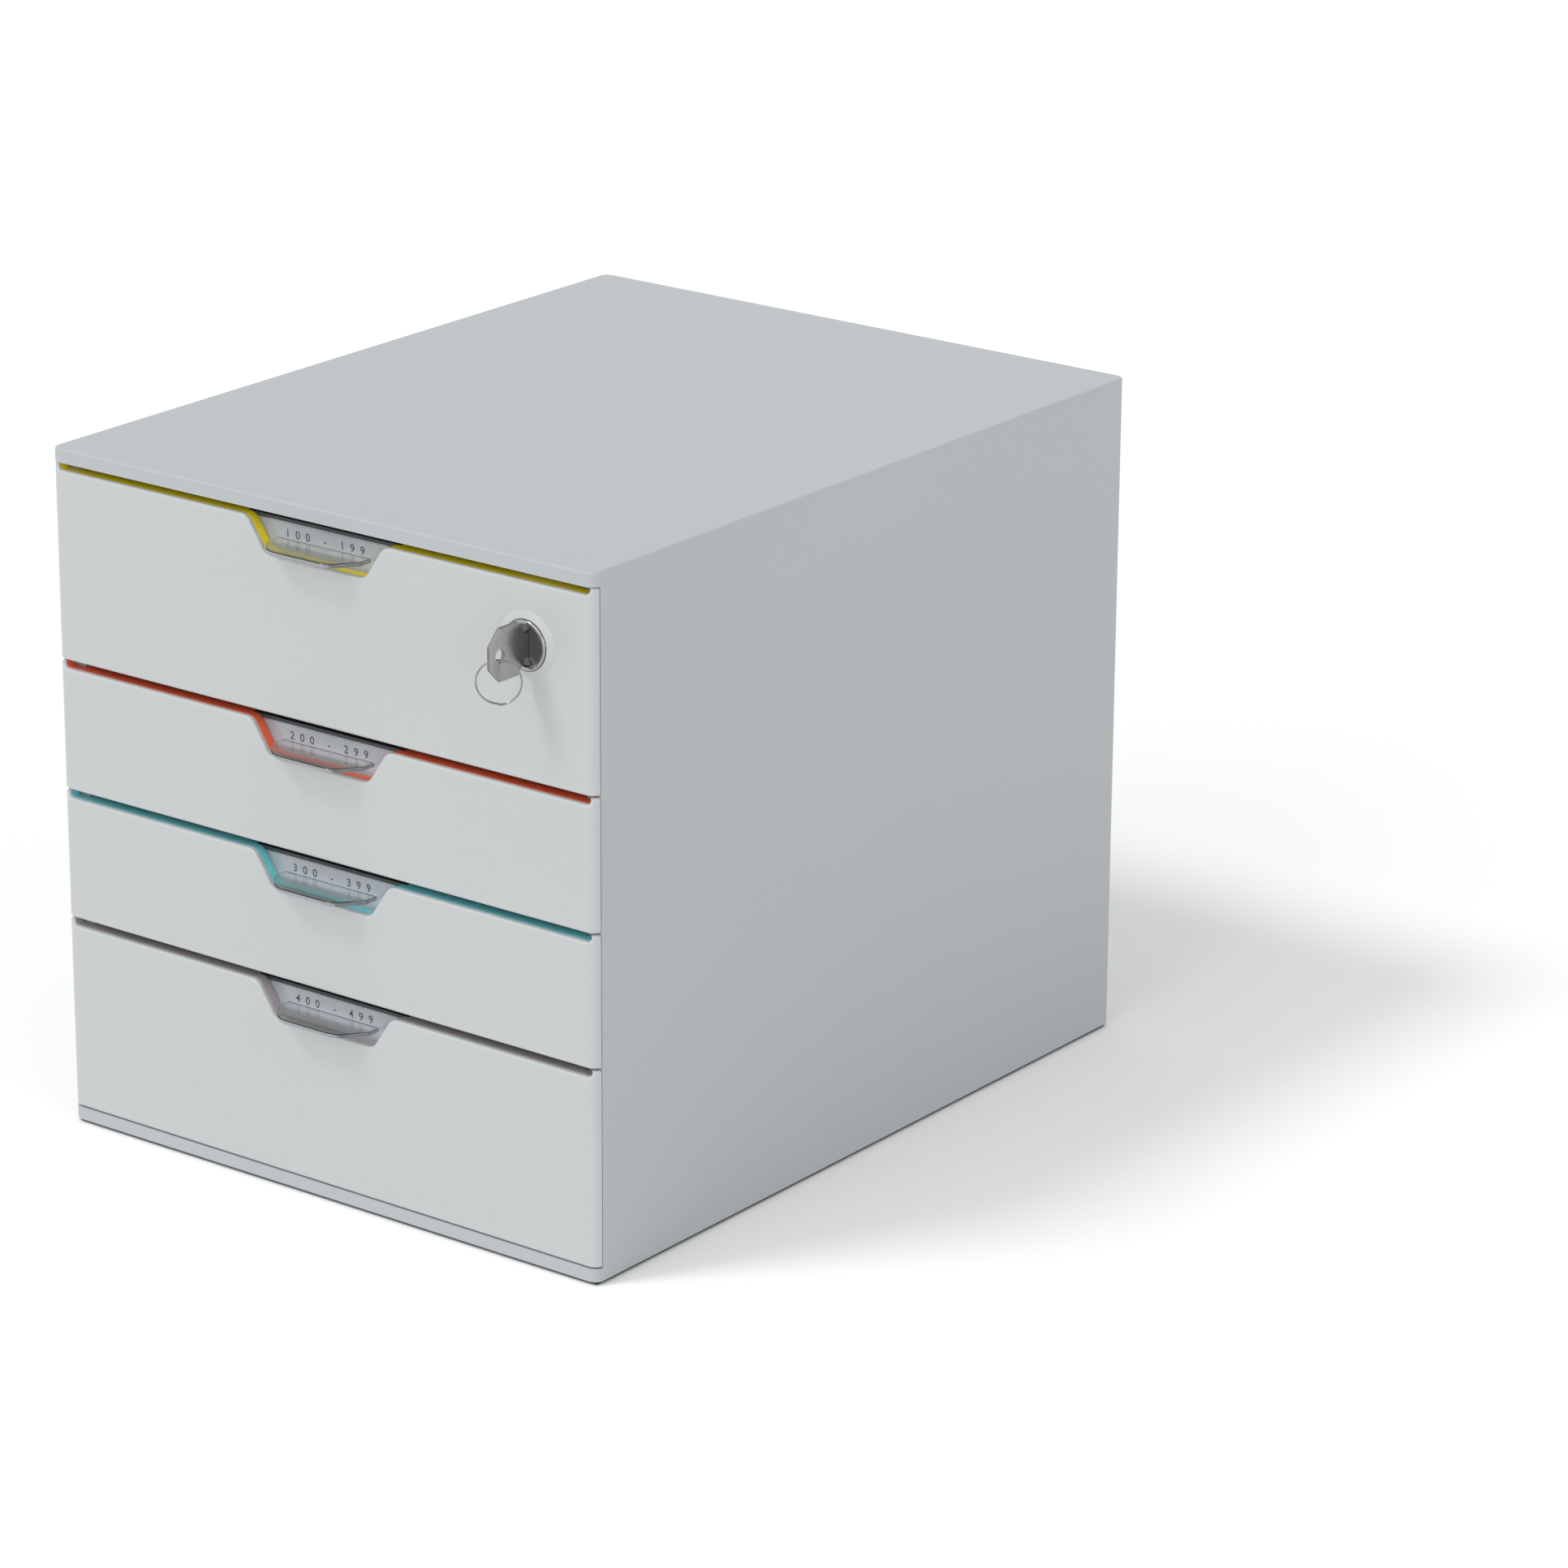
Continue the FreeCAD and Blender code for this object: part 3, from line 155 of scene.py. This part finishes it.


# Bare metal whose roughness runs in lines or in small patches; the cut edges may get a painted
# shade that stands in for dark reflections
def makeMetal(name, look, skin):
    material, tree = newMaterial(name)
    coordinates = addNode(tree, "ShaderNodeTexCoord")
    stretched = addNode(tree, "ShaderNodeMapping",
                        {"Scale": [1000 / pitch for pitch in look["linesMm"]]},
                        {"Vector": coordinates.outputs["Object"]})
    lines = addNode(tree, "ShaderNodeTexNoise", {"Scale": 1.0, "Detail": 3.0},
                    {"Vector": stretched.outputs["Vector"]})
    rough = addNode(tree, "ShaderNodeMapRange",
                    {"To Min": look["roughness"] - look["spread"],
                     "To Max": look["roughness"] + look["spread"]},
                    {"Value": lines.outputs["Fac"]})
    bump = addNode(tree, "ShaderNodeBump",
                   {"Strength": look["spread"], "Distance": skin["lineDepth"]},
                   {"Height": lines.outputs["Fac"]})
    links = {"Roughness": rough.outputs["Result"], "Normal": bump.outputs["Normal"]}
    # Painted shade: faces that don't look along X get a darker colour, standing in for dark
    # reflections
    if "edge" in look:
        normal = addNode(tree, "ShaderNodeSeparateXYZ", None,
                         {"Vector": coordinates.outputs["Normal"]})
        facing = addNode(tree, "ShaderNodeMath", {"operation": "ABSOLUTE"},
                         {0: normal.outputs["X"]})
        edgeShade = addNode(tree, "ShaderNodeMapRange",
                       {"From Min": skin["edgeUpTo"], "From Max": skin["flatFrom"],
                        "To Min": look["edge"]},
                       {"Value": facing.outputs["Value"]})
        colour = addNode(tree, "ShaderNodeVectorMath",
                         {"operation": "SCALE", 0: toLinear(look["colour"])[:3]},
                         {"Scale": edgeShade.outputs["Result"]})
        links["Base Color"] = colour.outputs["Vector"]
    shader = addNode(tree, "ShaderNodeBsdfPrincipled",
                     {"Base Color": toLinear(look["colour"]), "Metallic": 1.0}, links)
    addNode(tree, "ShaderNodeOutputMaterial", None, {"Surface": shader.outputs["BSDF"]})
    return material


# Clear polystyrene, polished: IOR 1.59, faint grey body colour, wiped surface. The thin
# plate over the card lets nearly all light through; the thick lip in front of it looks
# greyer and keeps some light back.
clearLook = {
    "ior": 1.59,
    "plateColour": "#F8FAFA",
    "lipColour": "#D9DBD5",
    "plateLets": 0.97,     # share of the light that goes on to other surfaces
    "lipLets": 0.68,
    "plateBehind": 0.002,  # how far behind the drawer fronts the lip has become the plate
    "roughness": 0.03,
    "roughSwing": 0.5,     # share by which wiping varies the roughness
    "wipeMm": 14.0,
}


# Clear moulding that refracts what is seen through it, while light on its way to other
# surfaces goes straight through, less of it where the lip is
def makeClearPlastic(name, look):
    material, tree = newMaterial(name)
    place = addNode(tree, "ShaderNodeTexCoord").outputs["Object"]
    wipe = addNode(tree, "ShaderNodeTexNoise", {"Scale": 1000 / look["wipeMm"], "Detail": 4.0},
                   {"Vector": place})
    rough = addNode(tree, "ShaderNodeMapRange",
                    {"To Min": look["roughness"] * (1 - look["roughSwing"]),
                     "To Max": look["roughness"] * (1 + look["roughSwing"])},
                    {"Value": wipe.outputs["Fac"]})
    depth = addNode(tree, "ShaderNodeSeparateXYZ", None, {"Vector": place}).outputs["Y"]
    inPlate = addNode(tree, "ShaderNodeMapRange",
                      {"From Min": frontLine, "From Max": frontLine + look["plateBehind"]},
                      {"Value": depth})
    # inputs 6 and 7 are the two colours that this node mixes, output 2 is their mix
    body = addNode(tree, "ShaderNodeMix",
                   {"data_type": "RGBA", 6: toLinear(look["lipColour"]),
                    7: toLinear(look["plateColour"])},
                   {0: inPlate.outputs["Result"]}).outputs[2]
    shader = addNode(tree, "ShaderNodeBsdfPrincipled",
                     {"IOR": look["ior"], "Transmission Weight": 1.0},
                     {"Base Color": body, "Roughness": rough.outputs["Result"]})
    lets = addNode(tree, "ShaderNodeMapRange",
                   {"To Min": look["lipLets"], "To Max": look["plateLets"]},
                   {"Value": inPlate.outputs["Result"]})
    through = addNode(tree, "ShaderNodeBsdfTransparent", None, {"Color": lets.outputs["Result"]})
    ray = addNode(tree, "ShaderNodeLightPath")
    onward = addNode(tree, "ShaderNodeMath", {"operation": "MAXIMUM"},
                     {0: ray.outputs["Is Shadow Ray"], 1: ray.outputs["Is Diffuse Ray"]})
    both = addNode(tree, "ShaderNodeMixShader", None,
                   {0: onward.outputs["Value"], 1: shader.outputs["BSDF"],
                    2: through.outputs["BSDF"]})
    addNode(tree, "ShaderNodeOutputMaterial", None, {"Surface": both.outputs["Shader"]})
    return material


# Printed numbers: matt black toner with a slightly uneven cover
inkLook = {
    "colour": "#3A3D40",
    "roughness": 0.6,
    "ior": 1.5,
    "speckMm": 0.25,
    "coverSwing": 0.2,
}


def makeInk(name, look):
    material, tree = newMaterial(name)
    place = addNode(tree, "ShaderNodeTexCoord").outputs["Object"]
    speck = addNode(tree, "ShaderNodeTexNoise", {"Scale": 1000 / look["speckMm"], "Detail": 2.0},
                    {"Vector": place})
    tint = addNode(tree, "ShaderNodeMapRange",
                   {"To Min": 1 - look["coverSwing"], "To Max": 1 + look["coverSwing"]},
                   {"Value": speck.outputs["Fac"]})
    colour = addNode(tree, "ShaderNodeVectorMath",
                     {"operation": "SCALE", 0: toLinear(look["colour"])[:3]},
                     {"Scale": tint.outputs["Result"]})
    shader = addNode(tree, "ShaderNodeBsdfPrincipled",
                     {"Roughness": look["roughness"], "IOR": look["ior"]},
                     {"Base Color": colour.outputs["Vector"]})
    addNode(tree, "ShaderNodeOutputMaterial", None, {"Surface": shader.outputs["BSDF"]})
    return material


materials = {name: makePlastic(name, look, plasticSkin) for name, look in plastics.items()}
materials.update({name: makeMetal(name, look, metalSkin) for name, look in metals.items()})
materials["clearPlastic"] = makeClearPlastic("clearPlastic", clearLook)
materials["labelInk"] = makeInk("labelInk", inkLook)
print("materials made:", len(materials))


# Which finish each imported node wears
trimNames = {1: "trimYellow", 2: "trimRedOrange", 3: "trimTeal", 4: "trimMauveGrey"}
finishes = {
    "housing_shell": "housingPlastic",
    "back_panel": "housingPlastic",
    "runner_panel_left": "innerPlastic",
    "runner_panel_right": "innerPlastic",
    "lock_barrel": "chromePlate",
    "lock_nut": "zincPlate",
    "lock_plug": "plugNickel",
    "lock_wafers": "waferBrass",
    "lock_cam": "zincPlate",
    "cam_screw": "zincPlate",
    "lock_key": "keyNickel",
    "key_ring": "ringSteel",
}
for footNode in (node for node in nodes if node.startswith("foot_")):
    finishes[footNode] = "footRubber"
for drawer in drawers:
    finishes[f"drawer_{drawer}_front"] = "frontPlastic"
    finishes[f"drawer_{drawer}_trim"] = trimNames[drawer]
    finishes[f"drawer_{drawer}_label_holder"] = "clearPlastic"
    finishes[f"drawer_{drawer}_label_card"] = "labelCard"
    finishes[f"drawer_{drawer}_tray"] = "trayPlastic"
for node, finish in finishes.items():
    if not nodes[node].material_slots:
        nodes[node].data.materials.append(materials[finish])
    for slot in nodes[node].material_slots:
        slot.material = materials[finish]
print("finishes given to", len(finishes), "nodes")


# Plain filing numbers printed on the cards, set wide as on typed labels
labelText = {
    "numbers": {1: "100 - 199", 2: "200 - 299", 3: "300 - 399", 4: "400 - 499"},
    "capHeight": 0.0033,
    "capShare": 0.7,      # height of the built-in font's digits as a share of its size
    "spacing": 2.2,
    "belowTop": 0.0048,   # middle of the digits under the card's top edge
    "inkThickness": 0.00003,
    "strokeExtra": 0.00006,
}


# Text laid on the front of a card: letters turned upright, centred, and made a mesh
def printLabel(drawer, look):
    curve = bpy.data.curves.new(f"label_{drawer}_text", "FONT")
    curve.body = look["numbers"][drawer]
    curve.align_x = "CENTER"
    curve.align_y = "CENTER"
    curve.space_character = look["spacing"]
    curve.size = look["capHeight"] / look["capShare"]
    curve.extrude = look["inkThickness"] / 2
    curve.offset = look["strokeExtra"]
    text = bpy.data.objects.new(f"label_{drawer}_text", curve)
    bpy.context.scene.collection.objects.link(text)
    bpy.context.view_layer.update()
    dependencies = bpy.context.evaluated_depsgraph_get()
    mesh = bpy.data.meshes.new_from_object(text.evaluated_get(dependencies))
    bpy.data.objects.remove(text)
    low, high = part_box(f"drawer_{drawer}_label_card")
    middle = (low.x + high.x) / 2
    place = Vector((middle, low.y - look["inkThickness"], high.z - look["belowTop"]))
    mesh.transform(Matrix.Translation(place) @ Matrix.Rotation(math.pi / 2, 4, "X"))
    piece = bpy.data.objects.new(f"drawer_{drawer}_label_numbers", mesh)
    bpy.context.scene.collection.objects.link(piece)
    mesh.materials.clear()
    mesh.materials.append(materials["labelInk"])
    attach(piece, f"drawer_{drawer}")


for drawer in drawers:
    printLabel(drawer, labelText)
print("label numbers printed")


# Studio: white floor that keeps the shadow, with a painted shade under the housing, even white
# surround, three soft suns
studio = {
    "floorGrey": 0.88,        # reflectance that lights the object from below
    "floorSeen": 1.115,       # reflectance that camera, gloss and clear parts meet
    "floorHalf": 12.0,
    "floorHeight": -0.00003,  # just clear of the feet's faces
    # Painted shade on the floor under the housing, on top of the shade its light gives
    "paintedShadeFactor": 0.16,        # what is left of it under the housing, seen only in the slit
    "paintedShadeEnds": (0.984, 0.993),  # shares of the housing's half size where that shade ends
    "surroundLight": 0.582,   # strength with which the surround lights the object
    "surroundColour": "#FFFFFF",
}
suns = {
    "keySun": {"toLight": (-0.32, -0.47, 0.82), "strength": 0.95, "spreadDegrees": 14},
    "frontSun": {"toLight": (-0.05, -0.86, 0.50), "strength": 0.49, "spreadDegrees": 40},
    "rightSun": {"toLight": (0.94, -0.28, 0.17), "strength": 0.54, "spreadDegrees": 45},
}


# 1 for what the camera, gloss and clear parts meet, 0 for all other light
def seenDirectly(tree):
    ray = addNode(tree, "ShaderNodeLightPath")
    seen = addNode(tree, "ShaderNodeMath", {"operation": "MAXIMUM"},
                   {0: ray.outputs["Is Camera Ray"], 1: ray.outputs["Is Glossy Ray"]})
    seen = addNode(tree, "ShaderNodeMath", {"operation": "MAXIMUM"},
                   {0: seen.outputs["Value"], 1: ray.outputs["Is Transmission Ray"]})
    return seen.outputs["Value"]


# Painted shade: the floor is coloured darker inside the housing's outline, where it lies in the
# slit over the feet;
# the larger of |x| and |y| from its middle, as shares of its half size
def paintedShadeUnderHousing(tree, look):
    low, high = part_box("housing_shell")
    place = addNode(tree, "ShaderNodeTexCoord").outputs["Object"]
    offset = addNode(tree, "ShaderNodeVectorMath", {"operation": "SUBTRACT", 1: (low + high) / 2},
                     {0: place})
    distance = addNode(tree, "ShaderNodeVectorMath", {"operation": "ABSOLUTE"},
                       {0: offset.outputs["Vector"]})
    share = addNode(tree, "ShaderNodeVectorMath", {"operation": "DIVIDE", 1: (high - low) / 2},
                    {0: distance.outputs["Vector"]})
    share = addNode(tree, "ShaderNodeSeparateXYZ", None, {"Vector": share.outputs["Vector"]})
    outward = addNode(tree, "ShaderNodeMath", {"operation": "MAXIMUM"},
                      {0: share.outputs["X"], 1: share.outputs["Y"]})
    shadeEnds, lightStarts = look["paintedShadeEnds"]
    paintedShade = addNode(tree, "ShaderNodeMapRange",
                    {"From Min": shadeEnds, "From Max": lightStarts, "To Min": look["paintedShadeFactor"]},
                    {"Value": outward.outputs["Value"]})
    return paintedShade.outputs["Result"]


def makeFloor(look):
    square = np.array([(-1, -1, 0), (1, -1, 0), (1, 1, 0), (-1, 1, 0)])
    corners = square * look["floorHalf"] + (0, 0, look["floorHeight"])
    mesh = bpy.data.meshes.new("studioFloor")
    mesh.from_pydata(corners.tolist(), [], [(0, 1, 2, 3)])
    floor = bpy.data.objects.new("studioFloor", mesh)
    bpy.context.scene.collection.objects.link(floor)
    material, tree = newMaterial("studioFloorWhite")
    shade = addNode(tree, "ShaderNodeMapRange",
                    {"To Min": look["floorGrey"], "To Max": look["floorSeen"]},
                    {"Value": seenDirectly(tree)})
    # The painted shade under the housing darkens the floor's colour there
    shade = addNode(tree, "ShaderNodeMath", {"operation": "MULTIPLY"},
                    {0: shade.outputs["Result"], 1: paintedShadeUnderHousing(tree, look)})
    matt = addNode(tree, "ShaderNodeBsdfDiffuse", None, {"Color": shade.outputs["Value"]})
    addNode(tree, "ShaderNodeOutputMaterial", None, {"Surface": matt.outputs["BSDF"]})
    mesh.materials.append(material)


def makeSurround(look):
    world = bpy.data.worlds.new("studioSurround")
    world.use_nodes = True
    tree = world.node_tree
    tree.nodes.clear()
    strength = addNode(tree, "ShaderNodeMapRange", {"To Min": look["surroundLight"], "To Max": 1.0},
                       {"Value": seenDirectly(tree)})
    light = addNode(tree, "ShaderNodeBackground", {"Color": toLinear(look["surroundColour"])},
                    {"Strength": strength.outputs["Result"]})
    addNode(tree, "ShaderNodeOutputWorld", None, {"Surface": light.outputs["Background"]})
    bpy.context.scene.world = world


def makeSun(name, look):
    light = bpy.data.lights.new(name, "SUN")
    light.energy = look["strength"]
    light.angle = math.radians(look["spreadDegrees"])
    lamp = bpy.data.objects.new(name, light)
    lamp.rotation_mode = "QUATERNION"
    lamp.rotation_quaternion = Vector(look["toLight"]).to_track_quat("Z", "Y")
    bpy.context.scene.collection.objects.link(lamp)


makeFloor(studio)
makeSurround(studio)
for sunName, sunLook in suns.items():
    makeSun(sunName, sunLook)
print("studio made:", len(suns), "suns")

# Camera solved from the photograph's box edges; distances from the point of the floor
# under the middle of the drawer fronts
viewpoint = {
    "fromFront": (1.500743, -1.684187, 0.963103),
    "turnDegrees": (38.09931, 70.78786, -1.004642),   # about Z, then X, then Y
    "lensMm": 138.65,
    "sensorMm": 36.0,
    "seesUpTo": 50,
}


def makeCamera(look):
    data = bpy.data.cameras.new("photoCamera")
    data.lens = look["lensMm"]
    data.sensor_width = look["sensorMm"]
    data.clip_end = look["seesUpTo"]
    camera = bpy.data.objects.new("photoCamera", data)
    aboutZ, aboutX, aboutY = (math.radians(angle) for angle in look["turnDegrees"])
    turn = Matrix.Rotation(aboutZ, 4, "Z") @ Matrix.Rotation(aboutX, 4, "X")
    turn = turn @ Matrix.Rotation(aboutY, 4, "Y")
    spot = Vector(look["fromFront"]) + Vector((0, frontLine, 0))
    camera.matrix_world = Matrix.Translation(spot) @ turn
    bpy.context.scene.collection.objects.link(camera)
    bpy.context.scene.camera = camera


makeCamera(viewpoint)
bpy.context.scene.view_settings.view_transform = "Standard"
print("camera made")
